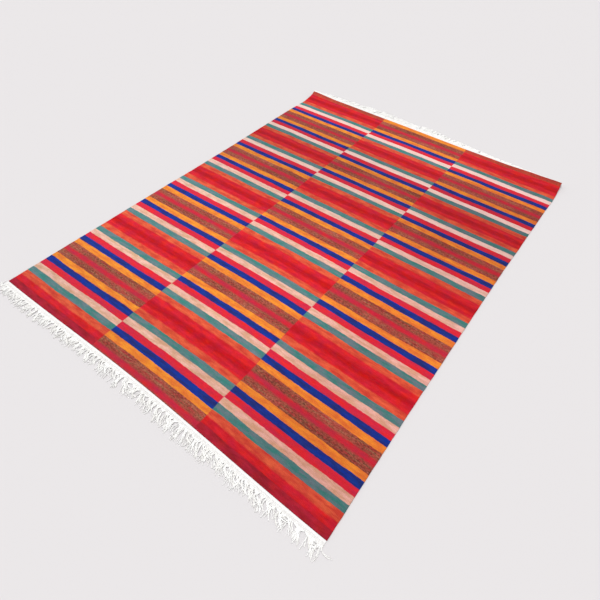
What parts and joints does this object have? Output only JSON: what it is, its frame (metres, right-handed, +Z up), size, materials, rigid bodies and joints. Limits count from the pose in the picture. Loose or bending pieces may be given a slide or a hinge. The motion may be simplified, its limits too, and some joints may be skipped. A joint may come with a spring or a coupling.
{
  "type": "nepalese rug",
  "caption": "Large rectangular flat-woven striped rug lying on a floor, with a white heading and a knotted fringe at each end.",
  "frame": {"origin": "on the floor under the middle of the rug with its fringes", "axes": "+X across the width, +Y along the length towards the end that curls up a little, +Z up"},
  "size_m": [1.8735, 2.6286, 0.0287],
  "materials": {
    "wool_field": "matte weft-faced wool weave, striped in red, orange, teal, pink, blue, amber and brown",
    "cotton_band": "matte white cotton plain weave",
    "cotton_fringe": "matte white twisted cotton yarn"
  },
  "bodies": {
    "root": {"rug_field": "wool_field", "end_band_near": "cotton_band", "end_band_far": "cotton_band", "fringe_near": "cotton_fringe", "fringe_far": "cotton_fringe"}
  },
  "joints": []
}
